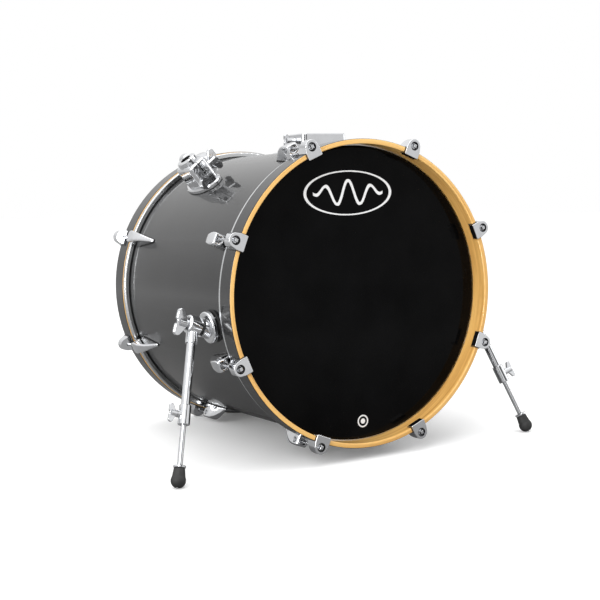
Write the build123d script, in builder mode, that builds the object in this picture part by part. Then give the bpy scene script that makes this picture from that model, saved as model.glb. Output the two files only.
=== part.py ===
from build123d import *
import math
import os

# A bass drum on two folding spurs, with a tube clamp on its side and a tom mount on top.
#
# Frame: the drum stands on the floor at Z = 0, the origin under the middle of its box.
# X runs left to right as seen from the front head, Y from front to back and Z up.
# The front is raised a little, so the pieces are drawn in the drum's own tilted frame:
# its origin is on the drum's axis at mid depth, and its Y is that axis.
# An angle is measured round the axis from +X towards +Z, and a depth along it.
# Pieces that repeat on both rims are drawn once, on the rear rim at angle 0.

# Driving dimensions, in millimetres and degrees
TILT = 2.5                      # the front hoop is raised this much
LUG_COUNT = 8
FIRST_LUG_ANGLE = 22.5

SHELL_RADIUS = 277.0            # 22 inch drum
SHELL_WALL = 7.5
SHELL_HALF_DEPTH = 228.5        # 18 inch shell
EDGE_INSET = 2.5                # from the shell's outside to the bearing edge's crest

HOOP_RADIUS = 290.0
HOOP_WALL = 9.5
HOOP_DEPTH = 39.0
HOOP_FACE = 264.5               # depth of the hoop's outer face
HOOP_ROUND = 2.0

FILM = 0.5
COLLAR_RADIUS = 279.5           # outside of the head's collar, inside of its ring
RING_RADIUS = 288.5
RING_DEPTH = 9.0

ROD_LINE = 297.5                # radius at which the tension rods run
ROD_RADIUS = 2.95
ROD_LENGTH = 88.0
THREAD_RADIUS = 3.0
CLAW_PLATE = 3.4
CLAW_PAD = 0.8
CLAW_REACH = 24.0
CLAW_LIP = 9.0                  # how far the claw's lip runs in behind the hoop's face
CLAW_LINER = 4.0                # how far the liner shows past the lip
CLAW_WIDTH = 31.0
CLAW_ROUND = 13.5
SOCKET_DEPTH = 7.0
SOCKET_RADIUS = 8.6

LUG_END = 203.0                 # depth of the lug's big end
LUG_LENGTH = 76.0
LUG_RADIUS = 13.0
LUG_TIP = 3.0
LUG_TOP = 308.0                 # radius of the lug's crest
GASKET = 1.0
SCREW_DEPTHS = (150.0, 184.0)   # the lug's two mounting screws
SCREW_RADIUS = 2.5

SPUR_SPLAY = 17.4               # how far the legs lean out, in the drum's frame
SPUR_RAKE = 17.9                # how far they lean forward
SPUR_PIVOT = (-313.0, -160.0, -40.0)
SPUR_BASE_ANGLE = 189.3
SPUR_BASE_DEPTH = -163.0
SPUR_SEAT = 7.0                 # thick rubber under the spur's base
TUBE_RADIUS = 8.0
LEG_ROD_RADIUS = 4.9
TUBE_END = 183.0                # distance down the leg from the pivot
BULB_RADIUS = 13.5

CLAMP_ANGLE = 128.5             # tube clamp on the shell's upper left
CLAMP_DEPTH = 54.0
MOUNT_DEPTH = -100.0            # tom mount on top of the shell
TUBE_BORE = 11.2                # for a 22.2 mm tom post

# The drum's own frame
sine, cosine = math.sin(math.radians(TILT)), math.cos(math.radians(TILT))
hoop_corner = (HOOP_FACE - HOOP_ROUND, HOOP_RADIUS - HOOP_ROUND)
lift = HOOP_ROUND + hoop_corner[0] * sine + hoop_corner[1] * cosine
DRUM = Location((0, 0, lift), (-TILT, 0, 0))


def drum_plane(origin, x_dir, z_dir):
    """A plane given in the drum's own frame."""
    return Plane(DRUM * Location(Plane(origin=origin, x_dir=x_dir, z_dir=z_dir)))


def outward(angle):
    return Vector(math.cos(math.radians(angle)), 0, math.sin(math.radians(angle)))


def shell_plane(angle, depth, radius=0.0):
    """Faces outward: local x runs towards the back, local y round the shell."""
    return drum_plane(outward(angle) * radius + Vector(0, depth, 0), (0, 1, 0), outward(angle))


def rim_plane(depth):
    """Across the drum's axis: local y points out at angle 0, z towards the back."""
    return drum_plane((0, depth, 0), (0, 0, 1), (0, 1, 0))


def side_plane():
    """Along the drum's axis: local x is depth, local y is radius at angle 0."""
    return drum_plane((0, 0, 0), (0, 1, 0), (0, 0, -1))


middle = rim_plane(0)
AXIS = Axis(middle.origin, middle.z_dir)
LUG_ANGLES = [FIRST_LUG_ANGLE + step * 360 / LUG_COUNT for step in range(LUG_COUNT)]
FRONT, REAR = -1, 1


def save(piece, name):
    piece.part.label = name
    export_step(piece.part, f"parts/{name}.step")


def save_both(piece, name):
    """Write a left-hand piece and its mirror image on the right."""
    save(piece, f"left_{name}")
    with BuildPart() as twin:
        mirror(piece.part, about=Plane.YZ)
    save(twin, f"right_{name}")


def copies(piece, sides):
    """The piece, drawn on the rear rim at angle 0, at every lug of the given sides."""
    for side in sides:
        one = piece.part if side == REAR else piece.part.mirror(middle)
        for angle in LUG_ANGLES:
            add(one.rotate(AXIS, -angle))


def turn(plane, outline):
    """Turn an outline of (along, radius) points about the plane's x axis."""
    with BuildSketch(plane) as profile:
        with BuildLine():
            Polyline(*outline, close=True)
        make_face()
    revolve(profile.sketch, axis=Axis(plane.origin, plane.x_dir))


def rod_along(plane, start, end, radius, mode=Mode.ADD):
    """A round bar along the plane's normal, between two distances from it."""
    with BuildSketch(plane.offset(start)) as section:
        Circle(radius)
    extrude(section.sketch, amount=end - start, mode=mode)


def drum_cylinder(radius, start, end, mode=Mode.ADD):
    rod_along(middle, start, end, radius, mode)


os.makedirs("parts", exist_ok=True)

# Leg frames: the fold axis points outward and up, square to the leg
splay, rake = math.radians(SPUR_SPLAY), math.radians(SPUR_RAKE)
fold_axis = Vector(-math.cos(splay), 0, math.sin(splay))
leg_down = Vector(-math.sin(splay), 0, -math.cos(splay))
leg_axis = leg_down * math.cos(rake) + Vector(0, -math.sin(rake), 0)
fold = drum_plane(SPUR_PIVOT, (0, -1, 0), fold_axis)
leg = drum_plane(SPUR_PIVOT, fold_axis, leg_axis)
leg_side = drum_plane(SPUR_PIVOT, leg_axis, leg_axis.cross(fold_axis))
wing_side = drum_plane(SPUR_PIVOT, fold_axis, (0, -1, 0))
steepness = -leg.z_dir.Z
bulb_centre = (fold.origin.Z - BULB_RADIUS) / steepness
spike_tip = (fold.origin.Z - 0.3) / steepness

spur_base = shell_plane(SPUR_BASE_ANGLE, SPUR_BASE_DEPTH)
SPUR_FLANGE = 30.0
spur_screws = [(dx, dy) for dx in (-16, 16) for dy in (-16, 16)]
clamp = shell_plane(CLAMP_ANGLE, CLAMP_DEPTH)
CLAMP_PLATE = (60.0, 29.0)
clamp_screws = [(-47, 0), (47, 0)]
mount = shell_plane(90, MOUNT_DEPTH)
MOUNT_SIZE = (62.0, 100.0)
MOUNT_TOP = 308.0
MOUNT_BORE = (0.0, 20.0)
mount_screws = [(dx, -dy) for dx in (-20, 20) for dy in (-38, 38)]


# ---- Shell, hoops and heads -------------------------------------------------------
with BuildPart() as shell:
    inner = SHELL_RADIUS - SHELL_WALL
    crest = SHELL_RADIUS - EDGE_INSET
    outer_end = SHELL_HALF_DEPTH - EDGE_INSET
    inner_end = SHELL_HALF_DEPTH - (crest - inner)
    half = [(outer_end, SHELL_RADIUS), (SHELL_HALF_DEPTH, crest), (inner_end, inner)]
    turn(side_plane(), half + [(-x, radius) for x, radius in reversed(half)])
    lug_holes = [
        shell_plane(angle, side * depth, inner - 10)
        for angle in LUG_ANGLES for side in (FRONT, REAR) for depth in SCREW_DEPTHS
    ]
    with BuildSketch(*lug_holes):
        Circle(SCREW_RADIUS + 0.3)
    extrude(amount=30, mode=Mode.SUBTRACT)
    right_spur_base = shell_plane(180 - SPUR_BASE_ANGLE, SPUR_BASE_DEPTH)
    for base, places in (
        (spur_base, spur_screws), (right_spur_base, spur_screws),
        (clamp, clamp_screws), (mount, mount_screws),
    ):
        with BuildSketch(base.offset(inner - 10)):
            with Locations(*places):
                Circle(SCREW_RADIUS + 0.3)
        extrude(amount=30, mode=Mode.SUBTRACT)
    with BuildSketch(clamp.offset(inner - 10)):
        Circle(TUBE_BORE + 2)
    extrude(amount=30, mode=Mode.SUBTRACT)
    with BuildSketch(mount.offset(inner - 10)):
        with Locations(MOUNT_BORE):
            Circle(TUBE_BORE + 2)
    extrude(amount=30, mode=Mode.SUBTRACT)
    VENT_ANGLE, VENT_RADIUS = 0.0, 7.0
    rod_along(shell_plane(VENT_ANGLE, 0), inner - 10, inner + 20, VENT_RADIUS + 0.1, Mode.SUBTRACT)
save(shell, "shell")

with BuildPart() as vent:
    rod_along(shell_plane(VENT_ANGLE, 0), inner - 3, SHELL_RADIUS + 1, VENT_RADIUS)
    rod_along(shell_plane(VENT_ANGLE, 0), SHELL_RADIUS - 0.1, SHELL_RADIUS + 2.5, 11)
    fillet(vent.faces().filter_by(GeomType.PLANE).sort_by(Axis.X)[-1].edges(), 1.2)
    drum_cylinder(SHELL_RADIUS, -30, 30, Mode.SUBTRACT)
    rod_along(shell_plane(VENT_ANGLE, 0), inner - 3, SHELL_RADIUS + 1, VENT_RADIUS)
    rod_along(shell_plane(VENT_ANGLE, 0), inner - 10, SHELL_RADIUS + 9, 5, Mode.SUBTRACT)
save(vent, "air_vent")

with BuildPart() as hoop:
    with BuildSketch(side_plane()):
        with Locations((HOOP_FACE - HOOP_DEPTH / 2, HOOP_RADIUS - HOOP_WALL / 2)):
            RectangleRounded(HOOP_DEPTH, HOOP_WALL, HOOP_ROUND)
    revolve(axis=AXIS)
save(hoop, "rear_hoop")

with BuildPart() as front_hoop:
    add(hoop.part.mirror(middle))
save(front_hoop, "front_hoop")

ring_top = HOOP_FACE - HOOP_DEPTH
with BuildPart() as head_film:
    inside = [
        (SHELL_HALF_DEPTH, 0), (SHELL_HALF_DEPTH, crest + 0.1),
        (ring_top, COLLAR_RADIUS - FILM), (ring_top - 1, COLLAR_RADIUS - FILM),
    ]
    outside = [
        (ring_top - 1, COLLAR_RADIUS), (ring_top + 0.4, COLLAR_RADIUS),
        (SHELL_HALF_DEPTH + FILM, crest + 0.3), (SHELL_HALF_DEPTH + FILM, 0),
    ]
    turn(side_plane(), inside + outside)
save(head_film, "rear_head_film")

with BuildPart() as front_film:
    add(head_film.part.mirror(middle))
save(front_film, "front_head_film")

with BuildPart() as head_ring:
    bottom, wall = ring_top - RING_DEPTH, 1.4
    turn(side_plane(), [
        (bottom, COLLAR_RADIUS), (bottom, RING_RADIUS), (ring_top, RING_RADIUS),
        (ring_top, RING_RADIUS - wall), (bottom + 3, RING_RADIUS - wall),
        (bottom + 3, COLLAR_RADIUS + wall), (ring_top, COLLAR_RADIUS + wall),
        (ring_top, COLLAR_RADIUS),
    ])
    fillet([edge for edge in head_ring.edges().filter_by(GeomType.CIRCLE).sort_by(AXIS)[:2]
            if edge.radius > RING_RADIUS - 0.1], 3.5)
save(head_ring, "rear_head_ring")

with BuildPart() as front_ring:
    add(head_ring.part.mirror(middle))
save(front_ring, "front_head_ring")

# ---- Claws, rods and lugs, drawn on the rear rim at angle 0 ------------------------
claw_face = HOOP_FACE + CLAW_PAD + CLAW_PLATE
claw_back = HOOP_FACE - CLAW_REACH
hoop_inside = HOOP_RADIUS - HOOP_WALL
tab_foot = hoop_inside - CLAW_PAD - CLAW_PLATE
lip_end = HOOP_FACE - CLAW_LIP


def claw_outline(margin):
    """A flat tab over the hoop's face and lip, running into a round body about the rod."""
    tab_height = HOOP_RADIUS - tab_foot + 2
    with Locations((0, tab_foot + tab_height / 2)):
        RectangleRounded(CLAW_WIDTH + 2 * margin, tab_height + 2 * margin, 2)
    with Locations((0, ROD_LINE)):
        Circle(CLAW_ROUND + min(margin, 0))
    make_hull()


def hoop_space(margin, lip_depth):
    """The room a claw or its liner leaves for the hoop, and for the recess behind the lip."""
    with BuildPart() as space:
        drum_cylinder(HOOP_RADIUS + margin, claw_back - 2, HOOP_FACE + margin)
        drum_cylinder(hoop_inside - margin, lip_depth, HOOP_FACE + margin, Mode.SUBTRACT)
    return space.part


with BuildPart() as claw:
    with BuildSketch(rim_plane(claw_back)):
        claw_outline(0)
    extrude(amount=claw_face - claw_back)
    with BuildSketch(side_plane()):
        with BuildLine():
            top = ROD_LINE + CLAW_ROUND
            Polyline(
                (claw_back, HOOP_RADIUS + 5), (claw_back + 9, top - 1.5), (claw_back + 13, top),
                (claw_face, top), (claw_face, tab_foot), (claw_back, tab_foot), close=True)
        make_face()
    extrude(amount=CLAW_WIDTH, both=True, mode=Mode.INTERSECT)
    fillet(claw.faces().sort_by(AXIS)[-1].edges(), 1.2)
    add(hoop_space(CLAW_PAD, lip_end), mode=Mode.SUBTRACT)
    with BuildSketch(rim_plane(claw_face)):
        with Locations((0, ROD_LINE)):
            Circle(SOCKET_RADIUS)
    extrude(amount=-SOCKET_DEPTH, mode=Mode.SUBTRACT)
    with BuildSketch(rim_plane(claw_back - 1)):
        with Locations((0, ROD_LINE)):
            Circle(ROD_RADIUS + 0.5)
    extrude(amount=claw_face - claw_back, mode=Mode.SUBTRACT)

for side, name in ((FRONT, "front_claws"), (REAR, "rear_claws")):
    with BuildPart() as claws:
        copies(claw, (side,))
    save(claws, name)

with BuildPart() as claw_pad:
    with BuildSketch(rim_plane(claw_back - 1.0)):
        claw_outline(1.0)
    extrude(amount=HOOP_FACE + CLAW_PAD - claw_back + 1.0)
    drum_cylinder(HOOP_RADIUS + CLAW_PAD, 0, HOOP_FACE + CLAW_PAD, Mode.INTERSECT)
    drum_cylinder(hoop_inside - CLAW_PAD, 0, HOOP_FACE + CLAW_PAD + 1, Mode.SUBTRACT)
    add(hoop_space(0, lip_end - CLAW_LINER), mode=Mode.SUBTRACT)
with BuildPart() as claw_pads:
    copies(claw_pad, (FRONT, REAR))
save(claw_pads, "claw_pads")

seat = claw_face - SOCKET_DEPTH
rod_side = drum_plane(outward(0) * ROD_LINE, (0, 1, 0), (0, 0, -1))
WASHER, FLANGE, SQUARE, GAP = 1.0, 2.0, 6.3, 0.05
with BuildPart() as washer:
    turn(rod_side, [
        (seat, ROD_RADIUS + 0.4), (seat, 6.4), (seat + WASHER, 6.4), (seat + WASHER, ROD_RADIUS + 0.4),
    ])
with BuildPart() as washers:
    copies(washer, (FRONT, REAR))
save(washers, "rod_washers")

head_start = seat + WASHER + GAP
with BuildPart() as rod:
    turn(rod_side, [
        (head_start - ROD_LENGTH, 0), (head_start - ROD_LENGTH, ROD_RADIUS - 1),
        (head_start - ROD_LENGTH + 1, ROD_RADIUS), (head_start, ROD_RADIUS), (head_start, 5.6),
        (head_start + FLANGE - 0.6, 5.6), (head_start + FLANGE, 5.0), (head_start + FLANGE, 0),
    ])
    with BuildSketch(rim_plane(head_start + FLANGE)):
        with Locations((0, ROD_LINE)):
            Rectangle(SQUARE, SQUARE)
    extrude(amount=SQUARE)
    fillet(rod.faces().sort_by(AXIS)[-1].edges(), 0.8)

for side, side_name in ((FRONT, "front"), (REAR, "rear")):
    for number, angle in enumerate(LUG_ANGLES, start=1):
        with BuildPart() as placed:
            one = rod.part if side == REAR else rod.part.mirror(middle)
            add(one.rotate(AXIS, -angle))
        save(placed, f"{side_name}_rod_{number}")

NUT_DEPTH, NUT_LENGTH, NUT_RADIUS, TRUNNION = 190.0, 18.0, 5.4, 3.6
with BuildPart() as lug:
    with BuildSketch(shell_plane(0, 0, SHELL_RADIUS - 6)):
        with Locations((LUG_END - LUG_RADIUS, 0)):
            Circle(LUG_RADIUS)
        with Locations((LUG_END - 4, 0)):
            Rectangle(8, 2 * LUG_RADIUS - 4)
        with Locations((LUG_END - LUG_LENGTH + LUG_TIP, 0)):
            Circle(LUG_TIP)
        make_hull()
    extrude(amount=LUG_TOP - SHELL_RADIUS + 6)
    with BuildSketch(side_plane()):
        with BuildLine():
            tip = (LUG_END - LUG_LENGTH, SHELL_RADIUS + 3)
            brow = (LUG_END - 30, LUG_TOP - 1.5)
            edge = (LUG_END, LUG_TOP - 1.0)
            Spline(tip, brow, edge, tangents=((1, 0.85), (1, -0.02)))
            Polyline(edge, (LUG_END, SHELL_RADIUS - 6), (tip[0], SHELL_RADIUS - 6), tip)
        make_face()
    extrude(amount=LUG_RADIUS + 2, both=True, mode=Mode.INTERSECT)
    fillet(lug.faces().sort_by(AXIS)[-1].edges(), 3.5)
    drum_cylinder(SHELL_RADIUS + GASKET, 100, 230, Mode.SUBTRACT)
    with BuildSketch(rim_plane(LUG_END)):
        with Locations((0, ROD_LINE)):
            Circle(NUT_RADIUS + 0.6)
    extrude(amount=-(LUG_END - NUT_DEPTH + NUT_LENGTH / 2 + 10), mode=Mode.SUBTRACT)
    with BuildSketch(drum_plane((0, NUT_DEPTH, 0), (0, 1, 0), (0, 0, -1))):
        with Locations((0, ROD_LINE)):
            Circle(TRUNNION + 0.15)
    extrude(amount=LUG_RADIUS + 2, both=True, mode=Mode.SUBTRACT)
    with BuildSketch(shell_plane(0, 0, SHELL_RADIUS)):
        with Locations(*[(depth, 0) for depth in SCREW_DEPTHS]):
            Circle(SCREW_RADIUS + 0.1)
    extrude(amount=11, mode=Mode.SUBTRACT)

for side, name in ((FRONT, "front_lugs"), (REAR, "rear_lugs")):
    with BuildPart() as lugs:
        copies(lug, (side,))
    save(lugs, name)

with BuildPart() as lug_gasket:
    with BuildSketch(shell_plane(0, 0, SHELL_RADIUS - 6)):
        with Locations((LUG_END - LUG_RADIUS, 0)):
            Circle(LUG_RADIUS + 0.8)
        with Locations((LUG_END - 4, 0)):
            Rectangle(9.6, 2 * LUG_RADIUS - 3)
        with Locations((LUG_END - LUG_LENGTH + LUG_TIP, 0)):
            Circle(LUG_TIP + 0.8)
        make_hull()
        with Locations(*[(depth, 0) for depth in SCREW_DEPTHS]):
            Circle(SCREW_RADIUS + 0.3, mode=Mode.SUBTRACT)
    extrude(amount=20)
    drum_cylinder(SHELL_RADIUS + GASKET, 100, 230, Mode.INTERSECT)
    drum_cylinder(SHELL_RADIUS, 100, 230, Mode.SUBTRACT)
with BuildPart() as lug_gaskets:
    copies(lug_gasket, (FRONT, REAR))
save(lug_gaskets, "lug_gaskets")

with BuildPart() as swivel_nut:
    turn(rod_side, [
        (NUT_DEPTH - NUT_LENGTH / 2, THREAD_RADIUS), (NUT_DEPTH - NUT_LENGTH / 2, NUT_RADIUS),
        (NUT_DEPTH + NUT_LENGTH / 2, NUT_RADIUS), (NUT_DEPTH + NUT_LENGTH / 2, THREAD_RADIUS),
    ])
    with BuildSketch(drum_plane((0, NUT_DEPTH, 0), (0, 1, 0), (0, 0, -1))):
        with Locations((0, ROD_LINE)):
            Circle(TRUNNION)
    extrude(amount=LUG_RADIUS - 0.5, both=True)
    rod_along(rim_plane(0).shift_origin(rod_side.origin), 160, 220, THREAD_RADIUS, Mode.SUBTRACT)
with BuildPart() as swivel_nuts:
    copies(swivel_nut, (FRONT, REAR))
save(swivel_nuts, "swivel_nuts")


# ---- Screws that hold the fittings, put in from inside the shell -------------------
def screw(plane, reach, aside=0.0):
    """A pan-head screw whose head bears on the inside of the shell."""
    under_head = math.sqrt(inner ** 2 - (abs(aside) + 5.5) ** 2) - 0.1
    rod_along(plane, under_head - 3.5, under_head, 5.5)
    rod_along(plane, under_head - 0.5, reach, SCREW_RADIUS)


with BuildPart() as shell_screws:
    for angle in LUG_ANGLES:
        for side in (FRONT, REAR):
            for depth in SCREW_DEPTHS:
                screw(shell_plane(angle, side * depth), SHELL_RADIUS + 10)
    for base, places, reach in (
        (spur_base, spur_screws, 288), (right_spur_base, spur_screws, 288),
        (clamp, clamp_screws, 280), (mount, mount_screws, 284),
    ):
        for dx, dy in places:
            screw(base.shift_origin(base.from_local_coords((dx, dy, 0))), reach, dy)
save(shell_screws, "shell_screws")

# ---- Wings shared by the nuts and bolts turned by hand ------------------------------
def thread_planes(origin, along, bar):
    """One plane square to a thread and one with its x axis along the thread, y along the wings."""
    return Plane(origin=origin, x_dir=bar, z_dir=along), Plane(origin, along, along.cross(bar))


def wings(planes, place, span, depth, thick, hub_start, hub):
    thread, flat = planes
    with BuildPart(mode=Mode.PRIVATE) as bar:
        with BuildSketch(flat):
            with Locations((place, span / 2 - depth / 2), (place, depth / 2 - span / 2)):
                Circle(depth / 2)
            with Locations((place - depth / 2, 0)):
                Rectangle(depth, depth)
            make_hull()
            with Locations((place + depth, 0)):
                Circle(depth * 0.65, mode=Mode.SUBTRACT)
        extrude(amount=thick / 2, both=True)
        across = Axis(flat.origin, flat.z_dir)
        chamfer(bar.faces().sort_by(across)[0].edges() + bar.faces().sort_by(across)[-1].edges(), 1)
    add(bar.part)
    rod_along(thread, hub_start, place, hub)


# ---- Spurs, drawn on the left and mirrored ------------------------------------------
PAD_START, PAD_END = -18.0, -12.0       # friction disc, along the fold axis
PAD_RADIUS = 15.0
TILTER_RADIUS, TILTER_END = 17.5, 12.0
SOCKET_END = 35.0                       # distances down the leg from the pivot
TUBE_START = 14.0
COLLAR_START, COLLAR_END = 150.0, 186.0
WING_PLACE = 168.0
RING_THICKNESS = 4.0
rubber_top = bulb_centre - 22.0
ring_start = rubber_top - 0.3 - RING_THICKNESS
seat_top = SHELL_RADIUS + SPUR_SEAT

with BuildPart() as spur_casting:
    rod_along(spur_base, inner, SHELL_RADIUS + 14.5, SPUR_FLANGE)
    fillet(spur_casting.faces().filter_by(GeomType.PLANE).sort_by(Axis.X)[0].edges(), 3)
    rod_along(fold, -52, PAD_START, 18)
    drum_cylinder(seat_top, -260, -80, Mode.SUBTRACT)
    with BuildSketch(spur_base.offset(inner)):
        with Locations(*spur_screws):
            Circle(SCREW_RADIUS + 0.1)
    extrude(amount=288.5 - inner, mode=Mode.SUBTRACT)
    rod_along(fold, -34, PAD_START + 1, 4.05, Mode.SUBTRACT)
save_both(spur_casting, "spur_base")

with BuildPart() as spur_pad:
    rod_along(fold, PAD_START, PAD_END, PAD_RADIUS)
    rod_along(fold, PAD_START, PAD_END, 4.3, Mode.SUBTRACT)
with BuildPart() as spur_pads:
    add(spur_pad.part)
    mirror(spur_pad.part, about=Plane.YZ)
save(spur_pads, "spur_pads")

with BuildPart() as spur_tilter:
    rod_along(fold, PAD_END + 0.3, TILTER_END, TILTER_RADIUS)
    fillet(spur_tilter.faces().sort_by(Axis(fold.origin, fold.z_dir))[-1].edges(), 4)
    rod_along(leg, 4, SOCKET_END, 11)
    rod_along(leg, TUBE_START, SOCKET_END + 1, TUBE_RADIUS, Mode.SUBTRACT)
    rod_along(fold, -20, 20, 4.08, Mode.SUBTRACT)
save_both(spur_tilter, "spur_tilter")

with BuildPart() as spur_pivot:
    rod_along(fold, -34, 31, 4.0)
save_both(spur_pivot, "spur_pivot_bolt")

with BuildPart() as spur_wing_nut:
    wings((fold, wing_side), 28, 50, 15, 8, TILTER_END + 0.3, 8)
    rod_along(fold, TILTER_END + 0.2, 45, 4.05, Mode.SUBTRACT)
save_both(spur_wing_nut, "spur_wing_nut")

lower_thread, lower_flat = thread_planes(leg.origin + leg.z_dir * WING_PLACE, fold.z_dir, leg.z_dir)
with BuildPart() as spur_tube:
    rod_along(leg, TUBE_START, TUBE_END, TUBE_RADIUS)
    rod_along(leg, TUBE_START, TUBE_END, LEG_ROD_RADIUS + 0.08, Mode.SUBTRACT)
    rod_along(lower_thread, 2, 10, 3.3, Mode.SUBTRACT)
save_both(spur_tube, "spur_tube")

with BuildPart() as spur_collar:
    rod_along(leg, COLLAR_START, COLLAR_END, 11)
    chamfer(spur_collar.edges().filter_by(GeomType.CIRCLE), 1)
    rod_along(lower_thread, 0, 16, 6.5)
    rod_along(leg, COLLAR_START - 1, TUBE_END, TUBE_RADIUS, Mode.SUBTRACT)
    rod_along(leg, TUBE_END - 1, COLLAR_END + 1, LEG_ROD_RADIUS + 0.35, Mode.SUBTRACT)
    rod_along(lower_thread, 4, 20, THREAD_RADIUS, Mode.SUBTRACT)
save_both(spur_collar, "spur_tube_clamp")

with BuildPart() as spur_wing_bolt:
    wings((lower_thread, lower_flat), 27, 34, 9, 5, 16.4, 6)
    rod_along(lower_thread, 5.3, 20, ROD_RADIUS)
save_both(spur_wing_bolt, "spur_wing_bolt")

ROD_TOP, SPIKE = 70.0, 14.0
with BuildPart() as spur_rod:
    turn(leg_side, [
        (ROD_TOP, 0), (ROD_TOP, LEG_ROD_RADIUS - 1), (ROD_TOP + 1, LEG_ROD_RADIUS),
        (spike_tip - SPIKE, LEG_ROD_RADIUS), (spike_tip - 0.8, 0.8), (spike_tip, 0),
    ])
save_both(spur_rod, "spur_rod")

with BuildPart() as spur_ring:
    rod_along(leg, ring_start, ring_start + RING_THICKNESS, 11.3)
    chamfer(spur_ring.edges().filter_by(GeomType.CIRCLE), 0.8)
    rod_along(leg, ring_start - 1, ring_start + 9, LEG_ROD_RADIUS + 0.08, Mode.SUBTRACT)
save_both(spur_ring, "spur_lock_ring")

with BuildPart() as spur_foot:
    with BuildSketch(leg_side) as half_foot:
        with Locations((bulb_centre, 0)):
            Circle(BULB_RADIUS)
        with BuildLine():
            Polyline(
                (rubber_top, 0), (rubber_top, 9), (rubber_top + 1, 10),
                (bulb_centre - 6, 12), (bulb_centre, 0), close=True)
        make_face()
        with Locations((bulb_centre, -50)):
            Rectangle(100, 100, mode=Mode.SUBTRACT)
    revolve(half_foot.sketch, axis=Axis(leg_side.origin, leg_side.x_dir))
    rod_along(leg, rubber_top - 1, bulb_centre + 20, LEG_ROD_RADIUS + 0.08, Mode.SUBTRACT)
save_both(spur_foot, "spur_foot")

# ---- Tube clamp on the shell's side -------------------------------------------------
BLOCK_FRONT, BLOCK_BACK, BLOCK_SIDE = -38.0, 30.0, 22.0
BLOCK_TOP, COLLAR_TOP, JAW_FOOT = 56.0, 66.0, 16.0      # heights above the shell
SADDLE = 8.0                                            # thickness of its curved foot
SPLIT = 0.75                                            # half the gap between the halves
BOLT_PLACE = (-19.0, 0.0, SHELL_RADIUS + 31.0)
KNUCKLE = (-48.0, 13.0, SHELL_RADIUS + 13.0)
clamp_thread = thread_planes(clamp.from_local_coords(BOLT_PLACE), -clamp.y_dir, clamp.z_dir)
knuckle_plane = Plane(clamp.from_local_coords(KNUCKLE), clamp.z_dir, clamp.x_dir)
block_length = BLOCK_BACK - BLOCK_FRONT


def clamp_half(low, high, start, end):
    """A box across the clamp, from one side to the other and between two heights."""
    with BuildSketch(clamp.offset(SHELL_RADIUS + start)) as section:
        with Locations(((BLOCK_FRONT + BLOCK_BACK) / 2, (low + high) / 2)):
            Rectangle(block_length + 40, high - low)
    return extrude(section.sketch, amount=end - start, mode=Mode.PRIVATE)


with BuildPart() as clamp_block:
    with BuildSketch(clamp.offset(SHELL_RADIUS)):
        with Locations(((BLOCK_FRONT + BLOCK_BACK) / 2, 0)):
            RectangleRounded(block_length, 2 * BLOCK_SIDE, 10)
    extrude(amount=BLOCK_TOP)
    fillet(clamp_block.faces().sort_by(Axis(clamp.origin, clamp.z_dir))[-1].edges(), 6)
    rod_along(clamp, SHELL_RADIUS, SHELL_RADIUS + COLLAR_TOP, 20.5)
    chamfer(clamp_block.faces().sort_by(Axis(clamp.origin, clamp.z_dir))[-1].edges(), 2)
    rod_along(clamp, SHELL_RADIUS - 1, SHELL_RADIUS + COLLAR_TOP + 1, TUBE_BORE, Mode.SUBTRACT)

with BuildPart() as clamp_base:
    with BuildSketch(clamp.offset(inner)):
        Ellipse(*CLAMP_PLATE)
    extrude(amount=24)
    drum_cylinder(SHELL_RADIUS + GASKET + SADDLE, -20, 130, Mode.INTERSECT)
    chamfer(clamp_base.faces().sort_by(Axis(clamp.origin, clamp.z_dir))[-1].edges(), 2.5)
    add(clamp_block.part)
    add(clamp_half(-40, SPLIT, JAW_FOOT - 1, COLLAR_TOP + 9), mode=Mode.SUBTRACT)
    rod_along(knuckle_plane, 0, 16, 12)
    rod_along(knuckle_plane, -1, 12, 4.5, Mode.SUBTRACT)
    drum_cylinder(SHELL_RADIUS + GASKET, -20, 130, Mode.SUBTRACT)
    rod_along(clamp, inner, SHELL_RADIUS + 20, TUBE_BORE, Mode.SUBTRACT)
    with BuildSketch(clamp.offset(inner)):
        with Locations(*clamp_screws):
            Circle(SCREW_RADIUS + 0.1)
    extrude(amount=SHELL_RADIUS + 4 - inner, mode=Mode.SUBTRACT)
    recess = Plane(clamp.from_local_coords((BLOCK_FRONT, 11, SHELL_RADIUS + 44)), clamp.z_dir, clamp.x_dir)
    rod_along(recess, -1, 9, 6, Mode.SUBTRACT)
    rod_along(clamp_thread[0], -15, 1, THREAD_RADIUS, Mode.SUBTRACT)
save(clamp_base, "tube_clamp_base")

with BuildPart() as clamp_jaw:
    add(clamp_block.part)
    add(clamp_half(-40, -SPLIT, JAW_FOOT, COLLAR_TOP + 9), mode=Mode.INTERSECT)
    rod_along(clamp_thread[0], -1, 30, THREAD_RADIUS + 0.4, Mode.SUBTRACT)
save(clamp_jaw, "tube_clamp_jaw")

with BuildPart() as clamp_bolt:
    wings(clamp_thread, 43, 46, 14, 7, BLOCK_SIDE + 0.4, 7)
    rod_along(clamp_thread[0], -14, 30, ROD_RADIUS)
save(clamp_bolt, "tube_clamp_wing_bolt")

# ---- Tom mount on top ---------------------------------------------------------------
MOUNT_LEFT = -50.0
MOUNT_RELIEF = 280.0            # the bore is opened out below this radius
WING_HEIGHT = 295.0
mount_edge = drum_plane((0, MOUNT_DEPTH, WING_HEIGHT), (0, 1, 0), (-1, 0, 0))
mount_thread = thread_planes(mount_edge.origin, Vector(-1, 0, 0), mount.z_dir)

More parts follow.
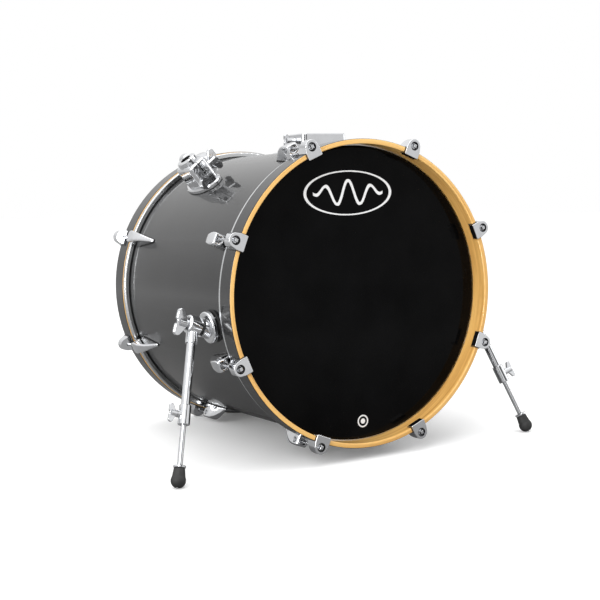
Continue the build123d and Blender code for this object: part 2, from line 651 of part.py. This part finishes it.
with BuildPart() as tom_mount:
    with BuildSketch(mount.offset(SHELL_RADIUS - 20)):
        RectangleRounded(*MOUNT_SIZE, 9)
    extrude(amount=MOUNT_TOP - SHELL_RADIUS + 20)
    chamfer(tom_mount.faces().sort_by(Axis(mount.origin, mount.z_dir))[-1].edges(), 2)
    drum_cylinder(SHELL_RADIUS + GASKET, -200, 0, Mode.SUBTRACT)
    with BuildSketch(mount.offset(inner)):
        with Locations(MOUNT_BORE):
            Circle(TUBE_BORE)
    extrude(amount=60, mode=Mode.SUBTRACT)
    with BuildSketch(mount.offset(inner)):
        with Locations(MOUNT_BORE):
            Circle(TUBE_BORE + 2)
    extrude(amount=MOUNT_RELIEF - inner, mode=Mode.SUBTRACT)
    with BuildSketch(mount.offset(inner - 10)):
        with Locations(*mount_screws):
            Circle(SCREW_RADIUS + 0.1)
    extrude(amount=285 - inner + 10, mode=Mode.SUBTRACT)
    rod_along(mount_thread[0], 25, 60, THREAD_RADIUS, Mode.SUBTRACT)
save(tom_mount, "tom_mount")

with BuildPart() as mount_bolt:
    wings(mount_thread, 70, 26, 10, 5, 50.4, 6)
    rod_along(mount_thread[0], 31.6, 60, ROD_RADIUS)
save(mount_bolt, "tom_mount_wing_bolt")

# ---- Rubber sheets under the spurs, the clamp and the tom mount ---------------------
with BuildPart() as gaskets:
    for base in (spur_base, right_spur_base):
        with BuildSketch(base.offset(inner)):
            Circle(SPUR_FLANGE + 0.8)
            with Locations(*spur_screws):
                Circle(SCREW_RADIUS + 0.3, mode=Mode.SUBTRACT)
        extrude(amount=24)
    drum_cylinder(seat_top, -260, -80, Mode.INTERSECT)
    with BuildSketch(clamp.offset(inner)):
        Ellipse(CLAMP_PLATE[0] + 0.8, CLAMP_PLATE[1] + 0.8)
        Circle(TUBE_BORE + 0.5, mode=Mode.SUBTRACT)
        with Locations(*clamp_screws):
            Circle(SCREW_RADIUS + 0.3, mode=Mode.SUBTRACT)
    extrude(amount=24)
    with BuildSketch(mount.offset(inner - 10)):
        RectangleRounded(MOUNT_SIZE[0] + 1.6, MOUNT_SIZE[1] + 1.6, 9.8)
        with Locations(MOUNT_BORE):
            Circle(TUBE_BORE + 0.5, mode=Mode.SUBTRACT)
        with Locations(*mount_screws):
            Circle(SCREW_RADIUS + 0.3, mode=Mode.SUBTRACT)
    extrude(amount=34)
    drum_cylinder(SHELL_RADIUS + GASKET, -260, 150, Mode.INTERSECT)
    drum_cylinder(SHELL_RADIUS, -260, 150, Mode.SUBTRACT)
save(gaskets, "mount_gaskets")
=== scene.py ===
import bpy
import math
from mathutils import Matrix, Vector


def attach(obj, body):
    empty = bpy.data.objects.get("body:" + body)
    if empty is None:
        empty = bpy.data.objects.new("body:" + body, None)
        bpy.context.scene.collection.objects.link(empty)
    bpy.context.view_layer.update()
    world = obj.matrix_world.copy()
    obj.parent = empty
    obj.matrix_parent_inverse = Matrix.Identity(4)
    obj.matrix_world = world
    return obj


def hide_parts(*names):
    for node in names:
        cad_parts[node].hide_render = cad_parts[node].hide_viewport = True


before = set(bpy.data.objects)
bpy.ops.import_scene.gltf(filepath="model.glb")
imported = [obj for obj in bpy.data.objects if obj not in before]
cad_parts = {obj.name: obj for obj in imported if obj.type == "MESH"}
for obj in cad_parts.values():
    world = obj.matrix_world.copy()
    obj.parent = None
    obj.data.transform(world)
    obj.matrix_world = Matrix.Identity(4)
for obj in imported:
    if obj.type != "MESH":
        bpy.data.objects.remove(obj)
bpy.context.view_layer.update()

# The drum's own frame has Y along its axis, which leans back a little: the front is raised
TILT = math.radians(2.5)
AXIS_HEIGHT = 0.30118
SHELL_RADIUS = 0.277
HOOP_RADIUS = 0.290


# ---- Node trees ---------------------------------------------------------------------
class NodeTree:
    """A shader's node tree, with short ways to add to it."""

    def __init__(self, tree):
        self.tree = tree

    def add(self, kind, inputs=None, **settings):
        node = self.tree.nodes.new(kind)
        for key, value in settings.items():
            setattr(node, key, value)
        for key, value in (inputs or {}).items():
            self.feed(node.inputs[key], value)
        return node

    def feed(self, socket, value):
        if isinstance(value, bpy.types.NodeSocket):
            self.tree.links.new(value, socket)
        else:
            socket.default_value = value

    def math(self, operation, a, b=0.0, clamp=False):
        return self.add("ShaderNodeMath", {0: a, 1: b}, operation=operation, use_clamp=clamp).outputs[0]

    def between(self, value, low, high, to_low=0.0, to_high=1.0, **settings):
        """A value brought from one range into another, and held inside it."""
        ranges = {"From Min": low, "From Max": high, "To Min": to_low, "To Max": to_high}
        return self.add("ShaderNodeMapRange", {"Value": value, **ranges}, **settings).outputs[0]

    def length(self, vector):
        return self.add("ShaderNodeVectorMath", {0: vector}, operation="LENGTH").outputs["Value"]


class Surface(NodeTree):
    """One material, built from nodes around its Principled shader."""

    def __init__(self, name, **constants):
        """A constant's name is its socket's, with _ for each space."""
        self.material = bpy.data.materials.new(name)
        self.material.use_nodes = True
        super().__init__(self.material.node_tree)
        self.shader = self.tree.nodes["Principled BSDF"]
        for socket, value in constants.items():
            self.set(socket.replace("_", " "), value)
        self.object_space = self.add("ShaderNodeTexCoord").outputs["Object"]

    def set(self, name, value):
        self.feed(self.shader.inputs[name], value)

    def scaled(self, vector, x, y, z):
        return self.add("ShaderNodeVectorMath", {0: vector, 1: (x, y, z)}, operation="MULTIPLY").outputs[0]

    def noise(self, vector, scale=1.0, detail=3.0, roughness=0.5):
        inputs = {"Vector": vector, "Scale": scale, "Detail": detail, "Roughness": roughness}
        return self.add("ShaderNodeTexNoise", inputs).outputs["Fac"]

    def ramp(self, value, *stops):
        node = self.add("ShaderNodeValToRGB", {"Fac": value})
        elements = node.color_ramp.elements
        while len(elements) < len(stops):
            elements.new(0.5)
        for element, (place, colour) in zip(elements, stops):
            element.position, element.color = place, (*colour, 1)
        return node.outputs["Color"]

    def mix(self, factor, a, b):
        """A blend of two colours, which are a Mix node's inputs 6 and 7."""
        colours = {
            index: (*colour, 1) if isinstance(colour, tuple) else colour
            for index, colour in ((6, a), (7, b))
        }
        return self.add("ShaderNodeMix", {0: factor, **colours}, data_type="RGBA").outputs[2]

    def bump(self, height, distance, strength=1.0, target="Normal"):
        inputs = {"Height": height, "Distance": distance, "Strength": strength}
        self.set(target, self.add("ShaderNodeBump", inputs).outputs[0])

    def enter_drum_space(self):
        """Finds each point's place in the drum's own frame, its distance from the axis and its angle."""
        inputs = {
            "Vector": self.object_space, "Rotation": (TILT, 0, 0),
            "Location": (0, AXIS_HEIGHT * math.sin(TILT), -AXIS_HEIGHT * math.cos(TILT)),
        }
        place = self.add("ShaderNodeMapping", inputs).outputs[0]
        self.across, self.along, self.upward = self.add("ShaderNodeSeparateXYZ", {0: place}).outputs
        flat = self.add("ShaderNodeCombineXYZ", {0: self.across, 2: self.upward}).outputs[0]
        self.radius = self.length(flat)
        self.angle = self.math("ARCTAN2", self.upward, self.across)

    def unrolled(self, arc_radius):
        """Each point's place with the drum's wall laid flat: round it, along it and outward."""
        arc = self.math("MULTIPLY", self.angle, arc_radius)
        return self.add("ShaderNodeCombineXYZ", {0: arc, 1: self.along, 2: self.radius}).outputs[0]


def grey(level):
    return level, level, level


def dimmed(colour, share):
    return tuple(share * part for part in colour)


# ---- Lacquer and maple --------------------------------------------------------------
# Lacquer covers what lies beyond these radii, and blends into bare wood over a hair's breadth
SHELL_SKIN = SHELL_RADIUS - 0.0010
HOOP_SKIN = HOOP_RADIUS - 0.0009
SKIN_BLEND = 0.0002
LACQUER_METALLIC = 0.55
LACQUER_ROUGHNESS = 0.36
CLEAR_COAT = {"Coat_Weight": 0.8, "Coat_IOR": 1.5, "Specular_IOR_Level": 0.2}


def lacquer_colour(s):
    """Dark grey with fine metal flakes of differing brightness."""
    flakes = s.add("ShaderNodeTexVoronoi", {"Vector": s.object_space, "Scale": 1400.0})
    spark = s.add("ShaderNodeSeparateColor", {0: flakes.outputs["Color"]}).outputs[0]
    cloud = s.noise(s.object_space, scale=9.0, detail=2.0)
    tone = s.math("ADD", s.math("MULTIPLY", spark, 0.5), s.math("MULTIPLY", cloud, 0.25))
    return s.ramp(
        tone, (0.0, (0.008, 0.0081, 0.0085)),
        (0.55, (0.020, 0.0203, 0.0212)),
        (0.8, (0.065, 0.065, 0.068)))


def maple_grain(s):
    """Long streaks that bend round the drum."""
    return s.noise(s.scaled(s.unrolled(HOOP_RADIUS), 5, 150, 260), detail=5.0, roughness=0.62)


def maple_colour(s, grain, light=1.0):
    """Clear-finished maple: its streaks, some broad shading and small dark flecks."""
    wall = s.unrolled(HOOP_RADIUS)
    fleck = s.noise(s.scaled(wall, 60, 900, 900), detail=2.0)
    broad = s.noise(s.scaled(wall, 2.2, 9, 9), detail=2.0)
    tone = s.math("ADD", s.math("MULTIPLY", grain, 0.6), s.math("MULTIPLY", broad, 0.4))
    # Every wood colour is scaled by light, a painted light level: below 1 it gives a shaded copy of the
    # maple
    wood = s.ramp(
        tone, (0.30, dimmed((0.50, 0.235, 0.055), light)),
        (0.48, dimmed((0.80, 0.46, 0.135), light)),
        (0.66, dimmed((0.92, 0.60, 0.22), light)))
    dark = s.math("MULTIPLY", s.between(fleck, 0.60, 0.72), 0.35)
    return s.mix(dark, wood, dimmed((0.42, 0.20, 0.05), light))


def lacquer_over(s, wood, skin, wood_roughness):
    outside = s.between(s.radius, skin - SKIN_BLEND, skin + SKIN_BLEND)
    s.set("Base Color", s.mix(outside, wood, lacquer_colour(s)))
    s.set("Metallic", s.math("MULTIPLY", outside, LACQUER_METALLIC))
    s.set("Roughness", s.between(outside, 0, 1, wood_roughness, LACQUER_ROUGHNESS))


def shell_surface():
    """Lacquer with a slight orange peel outside, and maple inside dimmed as painted shade."""
    s = Surface("lacquered_shell", Coat_Roughness=0.03, **CLEAR_COAT)
    s.enter_drum_space()
    # The maple inside the shell is painted in shade, at 0.8 of the hoops' brightness
    lacquer_over(s, maple_colour(s, maple_grain(s), light=0.8), SHELL_SKIN, wood_roughness=0.5)
    peel = s.noise(s.object_space, scale=260.0, detail=2.0)
    s.bump(peel, 0.00002, 0.6, target="Coat Normal")
    return s.material


def hoop_surface():
    """Maple with a lacquered band round its outside."""
    s = Surface("maple_hoop", Coat_Roughness=0.05, **CLEAR_COAT)
    s.enter_drum_space()
    grain = maple_grain(s)
    lacquer_over(s, maple_colour(s, grain), HOOP_SKIN, wood_roughness=0.42)
    s.bump(grain, 0.00004, 0.5)
    return s.material


# ---- Heads --------------------------------------------------------------------------
# Centres are given across and above the drum's axis
EMBLEM_CENTRE = (-0.0135, 0.1905)
EMBLEM_HALF_WIDTH, EMBLEM_HALF_HEIGHT = 0.098, 0.042
WAVE_REACH, WAVE_HEIGHT = 0.078, 0.023
WAVE_END_PHASE = 3 * math.pi
STROKE_INSIDE, STROKE_OUTSIDE = 0.0024, 0.0030
BADGE_CENTRE = (0.005, -0.2455)
BADGE_RADIUS = 0.012
FRONT_FACE, FRONT_FACE_END = -0.2288, -0.2284
MARGIN_START, MARGIN_FULL = 0.2695, 0.2705
BEATEN_RADIUS, BEATEN_END = 0.012, 0.045


def ellipse(s, centre, half_width, half_height):
    """1 on the ellipse, less inside it and more outside."""
    x, z = centre
    across = s.math("DIVIDE", s.math("SUBTRACT", s.across, x), half_width)
    upward = s.math("DIVIDE", s.math("SUBTRACT", s.upward, z), half_height)
    return s.length(s.add("ShaderNodeCombineXYZ", {0: across, 1: upward}).outputs[0])


def band(s, distance, low, high, soft):
    inner = s.between(distance, low - soft, low + soft)
    outer = s.between(distance, high - soft, high + soft, 1.0, 0.0)
    return s.math("MULTIPLY", inner, outer)


def wave_line(s):
    """A line of even width along a wave that is tallest in its middle."""
    from_middle = s.math("DIVIDE", s.math("SUBTRACT", s.across, EMBLEM_CENTRE[0]), WAVE_REACH)
    swell = s.math("SUBTRACT", 1.0, s.math("MULTIPLY", from_middle, from_middle), clamp=True)
    phase = s.math("MULTIPLY", from_middle, WAVE_END_PHASE)
    wave = s.math("MULTIPLY", s.math("COSINE", phase), swell)
    above_centre = s.math("SUBTRACT", s.upward, EMBLEM_CENTRE[1])
    off_wave = s.math("SUBTRACT", above_centre, s.math("MULTIPLY", wave, WAVE_HEIGHT))
    slope = s.math(
        "MULTIPLY", s.math("MULTIPLY", s.math("SINE", phase), swell),
        WAVE_HEIGHT * WAVE_END_PHASE / WAVE_REACH)
    steepness = s.math("SQRT", s.math("ADD", s.math("MULTIPLY", slope, slope), 1.0))
    off_wave = s.math("DIVIDE", s.math("ABSOLUTE", off_wave), steepness)
    stroke = s.between(off_wave, STROKE_INSIDE, STROKE_OUTSIDE, 1.0, 0.0)
    return s.math("MULTIPLY", stroke, s.between(swell, 0.0, 0.02))


def front_film_surface():
    """Gloss black film, printed with a wave in an oval and with a small ring and dot below."""
    s = Surface("black_film", Specular_IOR_Level=0.06, IOR=1.5)
    s.enter_drum_space()
    emblem = ellipse(s, EMBLEM_CENTRE, EMBLEM_HALF_WIDTH, EMBLEM_HALF_HEIGHT)
    badge = ellipse(s, BADGE_CENTRE, BADGE_RADIUS, BADGE_RADIUS)
    mark = s.math("MAXIMUM", band(s, emblem, 0.94, 1.0, 0.005), wave_line(s))
    mark = s.math("MAXIMUM", mark, band(s, badge, 0.78, 1.0, 0.04))
    mark = s.math("MAXIMUM", mark, band(s, badge, -0.1, 0.42, 0.04))
    ink = s.math("MULTIPLY", mark, s.between(s.along, FRONT_FACE, FRONT_FACE_END, 1.0, 0.0))
    haze = s.noise(s.object_space, scale=14.0)
    black = s.ramp(haze, (0.3, (0.0012, 0.0012, 0.0013)), (0.7, (0.0028, 0.0028, 0.0030)))
    s.set("Base Color", s.mix(ink, black, grey(0.82)))
    film_roughness = s.between(haze, 0.3, 0.7, 0.03, 0.07)
    s.set("Roughness", s.math("ADD", film_roughness, s.math("MULTIPLY", ink, 0.3)))
    s.bump(s.noise(s.object_space, scale=5.0, detail=1.0), 0.0004, 0.3)
    return s.material


def batter_film_surface():
    """White coated film: fine sprayed grain, a clear margin, a faint beater mark."""
    s = Surface("coated_film")
    s.enter_drum_space()
    grain = s.noise(s.object_space, scale=1800.0, detail=2.0, roughness=0.6)
    cloud = s.noise(s.object_space, scale=12.0)
    white = s.ramp(cloud, (0.3, (0.66, 0.66, 0.64)), (0.7, (0.78, 0.78, 0.76)))
    beaten = s.between(s.radius, BEATEN_RADIUS, BEATEN_END, 1.0, 0.0)
    worn = s.math("MULTIPLY", beaten, s.between(cloud, 0.35, 0.65, 0.2, 0.6))
    white = s.mix(worn, white, (0.36, 0.355, 0.34))
    margin = s.math("MULTIPLY", s.between(s.radius, MARGIN_START, MARGIN_FULL), 0.6)
    s.set("Base Color", s.mix(margin, white, grey(0.50)))
    s.set("Roughness", s.between(grain, 0.3, 0.7, 0.45, 0.62))
    s.bump(grain, 0.00008, 0.7)
    return s.material


# ---- Metal and rubber ---------------------------------------------------------------
# Roughness is given as its least and its most, and lengths are in metres
CREVICE = 0.007
# Near-black colour of the painted shade in the chrome's corners and crevices
PAINTED_SHADE = (0.035, 0.035, 0.038)
THREAD_PITCH = 0.00106
THREAD_END, THREAD_RUN_OUT = 0.224, 0.226
TURNED_RADIUS = 0.3


def chrome_surface(name, colour, roughness, wave, wave_scale):
    """Plated metal: smudges in the gloss, a slight waviness, and painted shade darkening its corners."""
    s = Surface(name, Metallic=1.0)
    smudge = s.noise(s.object_space, scale=70.0, detail=4.0, roughness=0.6)
    plating = s.ramp(smudge, (0.25, dimmed(colour, 0.90)), (0.7, colour))
    # Painted shade: where the ambient-occlusion node finds surfaces close by, the plating is darkened to
    # near black
    openness = s.add("ShaderNodeAmbientOcclusion", {"Distance": CREVICE}, samples=6).outputs["AO"]
    s.set("Base Color", s.mix(s.between(openness, 0.30, 0.62), PAINTED_SHADE, plating))
    s.set("Roughness", s.between(smudge, 0.35, 0.75, *roughness))
    s.bump(s.noise(s.object_space, scale=wave_scale, detail=2.0), wave, 0.6)
    return s.material


def threaded_surface():
    """Chromed tension rods, with a cut thread on the end nearest the nut."""
    s = Surface("threaded_rod", Metallic=1.0)
    s.enter_drum_space()
    smudge = s.noise(s.object_space, scale=90.0)
    s.set("Base Color", s.ramp(smudge, (0.25, (0.60, 0.61, 0.63)), (0.7, (0.70, 0.71, 0.73))))
    s.set("Roughness", s.between(smudge, 0.35, 0.75, 0.07, 0.15))
    turns = s.math("SINE", s.math("MULTIPLY", s.along, 2 * math.pi / THREAD_PITCH))
    from_middle = s.math("ABSOLUTE", s.along)
    s.bump(s.math("MULTIPLY", turns, s.between(from_middle, THREAD_END, THREAD_RUN_OUT, 1.0, 0.0)), 0.00012)
    return s.material


def turned_surface(name, colour, roughness, ring_scale):
    """Metal with fine turning marks across the drum's axis."""
    s = Surface(name, Metallic=1.0)
    s.enter_drum_space()
    lines = s.noise(s.scaled(s.unrolled(TURNED_RADIUS), 14, ring_scale, ring_scale))
    s.set("Base Color", s.ramp(lines, (0.3, dimmed(colour, 0.82)), (0.7, colour)))
    s.set("Roughness", s.between(lines, 0.3, 0.7, *roughness))
    s.bump(lines, 0.00001, 0.4)
    return s.material


def moulded_surface(name, dark, light, roughness, pebble_scale, pebble):
    """Moulded rubber or nylon with a fine pebbled skin."""
    s = Surface(name)
    grain = s.noise(s.object_space, scale=pebble_scale, roughness=0.6)
    scuff = s.noise(s.object_space, scale=45.0)
    s.set("Base Color", s.ramp(scuff, (0.3, dark), (0.75, light)))
    s.set("Roughness", s.between(grain, 0.3, 0.7, *roughness))
    s.bump(grain, pebble, 0.8)
    return s.material


# ---- What each node is made of ------------------------------------------------------
CHROME = (0.82, 0.83, 0.85)
lacquer = shell_surface()
maple = hoop_surface()
black_film = front_film_surface()
white_film = batter_film_surface()
cast_chrome = chrome_surface("cast_chrome", CHROME, roughness=(0.05, 0.13), wave=0.00006, wave_scale=120.0)
tube_chrome = chrome_surface("tube_chrome", CHROME, roughness=(0.04, 0.10), wave=0.00002, wave_scale=60.0)
rod_chrome = threaded_surface()
ring_metal = turned_surface("ring_aluminium", (0.82, 0.83, 0.84), roughness=(0.12, 0.20), ring_scale=1600)
screw_metal = turned_surface("zinc_screws", (0.55, 0.56, 0.58), roughness=(0.28, 0.45), ring_scale=1500)
nut_metal = turned_surface("zinc_nuts", (0.50, 0.51, 0.53), roughness=(0.22, 0.38), ring_scale=1800)
rubber = moulded_surface(
    "black_rubber", grey(0.012), grey(0.03), roughness=(0.55, 0.75), pebble_scale=1300.0, pebble=0.00008)
nylon = moulded_surface(
    "black_nylon", grey(0.010), grey(0.022), roughness=(0.32, 0.5), pebble_scale=900.0, pebble=0.00004)

BY_NAME = {
    "shell": lacquer, "front_hoop": maple, "rear_hoop": maple,
    "front_head_film": black_film, "rear_head_film": white_film,
    "front_head_ring": ring_metal, "rear_head_ring": ring_metal,
    "claw_pads": nylon, "rod_washers": nylon, "spur_pads": nylon,
    "lug_gaskets": rubber, "mount_gaskets": rubber, "swivel_nuts": nut_metal,
    "shell_screws": screw_metal, "air_vent": tube_chrome,
}
BY_ENDING = {
    "spur_foot": rubber, "spur_rod": tube_chrome, "spur_tube": tube_chrome,
    "pivot_bolt": tube_chrome, "lock_ring": tube_chrome,
}


def finish_for(name):
    """A node's material. The castings, and whatever isn't listed, are cast chrome."""
    if name in BY_NAME:
        return BY_NAME[name]
    if name.startswith(("front_rod_", "rear_rod_")):
        return rod_chrome
    for ending, material in BY_ENDING.items():
        if name.endswith(ending):
            return material
    return cast_chrome


for name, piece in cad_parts.items():
    finish = finish_for(name)
    if not piece.material_slots:
        piece.data.materials.append(finish)
    for slot in piece.material_slots:
        slot.material = finish

# ---- Lugs as castings, their edges rounded everywhere but at the shell --------------
LUG_VOXEL = 0.0012
ROUNDING_PASSES = 40
ROUNDING_FACTOR = 0.5
FACES_KEPT = 0.4
FOOT_RADIUS, CREST_RADIUS = 0.2795, 0.287


def evenly_meshed(piece):
    """The piece's mesh, made again from small faces of one size."""
    even = piece.modifiers.new("even_faces", "REMESH")
    even.mode, even.voxel_size = "VOXEL", LUG_VOXEL
    depsgraph = bpy.context.evaluated_depsgraph_get()
    mesh = bpy.data.meshes.new_from_object(piece.evaluated_get(depsgraph))
    piece.modifiers.clear()
    return mesh


def rounded_casting(name, finish):
    """A casting that stands for a node, with soft edges away from its foot."""
    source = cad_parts[name]
    piece = bpy.data.objects.new(name + "_casting", source.data.copy())
    bpy.context.collection.objects.link(piece)
    piece.data = mesh = evenly_meshed(piece)
    shares = piece.vertex_groups.new(name="rounding")
    for vertex in mesh.vertices:
        x, y, z = vertex.co
        radius = math.hypot(x, y * math.sin(TILT) + (z - AXIS_HEIGHT) * math.cos(TILT))
        share = (radius - FOOT_RADIUS) / (CREST_RADIUS - FOOT_RADIUS)
        shares.add([vertex.index], min(max(share, 0.0), 1.0), "REPLACE")
    rounding = piece.modifiers.new("rounding", "SMOOTH")
    rounding.factor, rounding.iterations = ROUNDING_FACTOR, ROUNDING_PASSES
    rounding.vertex_group = shares.name
    thinning = piece.modifiers.new("thinning", "DECIMATE")
    thinning.ratio = FACES_KEPT
    mesh.materials.clear()
    mesh.materials.append(finish)
    mesh.shade_smooth()
    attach(piece, "drum")
    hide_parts(name)


for lug_node in ("front_lugs", "rear_lugs"):
    rounded_casting(lug_node, cast_chrome)


# ---- Floor --------------------------------------------------------------------------
FLOOR_RADIUS = 9.0
DIM_REACH, DIM_END = 0.6, 3.0


def floor_surface():
    """Pale to the camera. To other rays it is darker, most of all close to the drum."""
    s = Surface("pale_floor", Roughness=0.9, Specular_IOR_Level=0.1)
    pale = s.ramp(s.noise(s.object_space, scale=3.0), (0.3, grey(0.95)), (0.7, grey(0.98)))
    seen = s.add("ShaderNodeLightPath").outputs["Is Camera Ray"]
    away = s.between(s.length(s.object_space), DIM_REACH, DIM_END)
    unseen = s.ramp(away, (0.0, grey(0.26)), (1.0, grey(0.62)))
    s.set("Base Color", s.mix(seen, unseen, pale))
    s.set("Emission Color", (1, 1, 1, 1))
    s.set("Emission Strength", s.math("MULTIPLY", seen, 0.10))
    return s.material


bpy.ops.mesh.primitive_circle_add(vertices=96, radius=FLOOR_RADIUS, fill_type="NGON", location=(0, 0, 0))
floor = bpy.context.object
floor.name = "floor"
floor.data.materials.append(floor_surface())


# ---- Lamps --------------------------------------------------------------------------
def softbox(name, place, target, width, height, power):
    """A soft lamp that faces the target and doesn't show itself."""
    data = bpy.data.lights.new(name, "AREA")
    data.shape, data.size, data.size_y, data.energy = "RECTANGLE", width, height, power
    lamp = bpy.data.objects.new(name, data)
    bpy.context.collection.objects.link(lamp)
    lamp.location = place
    lamp.rotation_euler = (Vector(target) - Vector(place)).to_track_quat("-Z", "Y").to_euler()
    lamp.visible_camera = False


MIDDLE = (0, 0, 0.3)
softbox("overhead", (-0.4, -0.2, 3.2), MIDDLE, width=3.0, height=3.0, power=34)
softbox("front_left", (-2.6, -2.6, 2.2), MIDDLE, width=1.6, height=2.2, power=40)
softbox("left", (-3.4, -1.2, 0.9), MIDDLE, width=1.2, height=1.6, power=62)
softbox("right", (3.2, -1.0, 1.6), MIDDLE, width=1.0, height=2.2, power=16)


# ---- Sky ----------------------------------------------------------------------------
class Sky(NodeTree):
    """The studio round the drum: even light, with dark flags that only gloss reflects."""

    def __init__(self):
        world = bpy.data.worlds.new("studio")
        bpy.context.scene.world = world
        world.use_nodes = True
        super().__init__(world.node_tree)
        self.direction = self.add("ShaderNodeTexCoord").outputs["Generated"]

    def facing(self, direction, low, high, at_low, at_high):
        """A value that changes with the cosine of the angle from a direction."""
        inputs = {0: self.direction, 1: Vector(direction).normalized()}
        cosine = self.add("ShaderNodeVectorMath", inputs, operation="DOT_PRODUCT").outputs["Value"]
        return self.between(cosine, low, high, at_low, at_high, interpolation_type="SMOOTHSTEP")

    def show(self, reflected):
        """Full strength for light, and the reflected strength for glossy rays."""
        glossy = self.add("ShaderNodeLightPath").outputs["Is Glossy Ray"]
        strength = self.add("ShaderNodeMix", {0: glossy, 2: 1.0, 3: reflected}).outputs[0]
        background = self.tree.nodes["Background"]
        self.feed(background.inputs["Strength"], strength)
        self.feed(background.inputs["Color"], (1, 1, 1, 1))


# Each flag: its direction, the cosines at its edge and inside it, and its strength inside
DARK_FLAGS = (
    ((-0.75, -0.64, 0.12), 0.950, 0.965, 0.05), ((0.20, -0.93, 0.30), 0.955, 0.970, 0.05),
    ((0.90, 0.10, 0.42), 0.930, 0.950, 0.10), ((-0.62, 0.78, 0.0), 0.930, 0.985, 0.85),
)
UP = (0, 0, 1)
sky = Sky()
reflected = sky.facing(UP, 0.0, 0.6, 0.70, 1.0)
for towards, edge, inside, strength in DARK_FLAGS:
    reflected = sky.math("MULTIPLY", reflected, sky.facing(towards, edge, inside, 1.0, strength))
sky.show(reflected)

# ---- Camera -------------------------------------------------------------------------
CAMERA_PLACE = (-1.24680, -2.12419, 0.57624)
CAMERA_AXES = (
    (0.86013, -0.50998, -0.00987),
    (0.07019, 0.09917, 0.99259),
    (-0.50523, -0.85445, 0.12110),
)
camera_data = bpy.data.cameras.new("camera")
camera_data.lens = 72.19
camera_data.sensor_width = 36.0
camera_data.clip_end = 100.0
camera = bpy.data.objects.new("camera", camera_data)
bpy.context.collection.objects.link(camera)
camera.matrix_world = Matrix.Translation(CAMERA_PLACE) @ Matrix(CAMERA_AXES).transposed().to_4x4()
bpy.context.scene.camera = camera
bpy.context.scene.view_settings.view_transform = "Standard"
